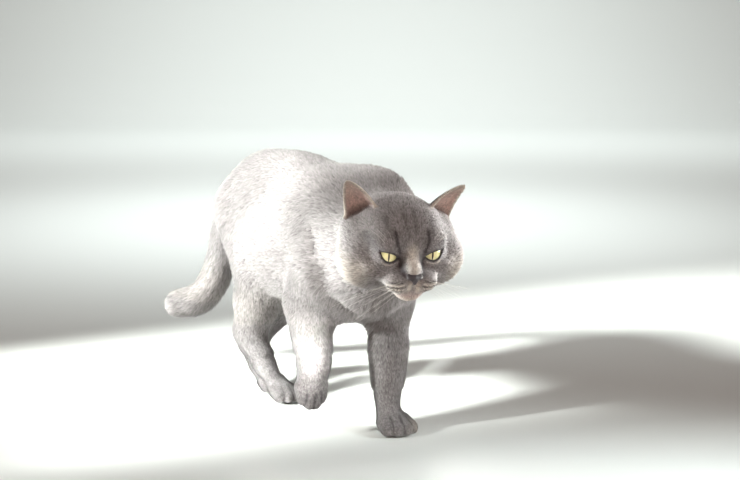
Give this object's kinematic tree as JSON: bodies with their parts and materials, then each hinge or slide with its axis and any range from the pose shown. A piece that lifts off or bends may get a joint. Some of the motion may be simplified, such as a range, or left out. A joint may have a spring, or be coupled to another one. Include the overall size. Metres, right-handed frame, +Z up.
{
  "type": "cat",
  "caption": "Life-size British Shorthair cat at a slow walk, head lowered and turned, one forepaw lifted, tail hanging and curling up at its tip.",
  "frame": {"origin": "on the floor, under the middle of the whole cat's box", "axes": "+Z up, the cat walks towards -Y, +X is the cat's left"},
  "size_m": [0.161, 0.5792, 0.2864],
  "materials": {
    "coat": "dense plush blue-grey fur",
    "face_coat": "short plush blue-grey fur",
    "paw_coat": "short plush blue-grey fur with slate pads",
    "ear_coat": "thin fur over pink skin",
    "nose_leather": "pebbled slate nose leather, slightly moist",
    "eye": "wet clear cornea over a yellow-green iris"
  },
  "bodies": {
    "root": {"belly": "coat", "chest": "coat", "chin": "face_coat", "ear_left": "ear_coat", "ear_right": "ear_coat", "eye_left": "eye", "eye_right": "eye", "forearm_front_left": "coat", "forearm_front_right": "coat", "head": "face_coat", "hock_hind_left": "coat", "hock_hind_right": "coat", "muzzle": "face_coat", "neck": "coat", "nose": "nose_leather", "paw_front_left": "paw_coat", "paw_front_right": "paw_coat", "paw_hind_left": "paw_coat", "paw_hind_right": "paw_coat", "rump": "coat", "shank_hind_left": "coat", "shank_hind_right": "coat", "tail_middle": "coat", "tail_root": "coat", "tail_tip": "coat", "thigh_hind_left": "coat", "thigh_hind_right": "coat", "upper_arm_front_left": "coat", "upper_arm_front_right": "coat"}
  },
  "joints": []
}
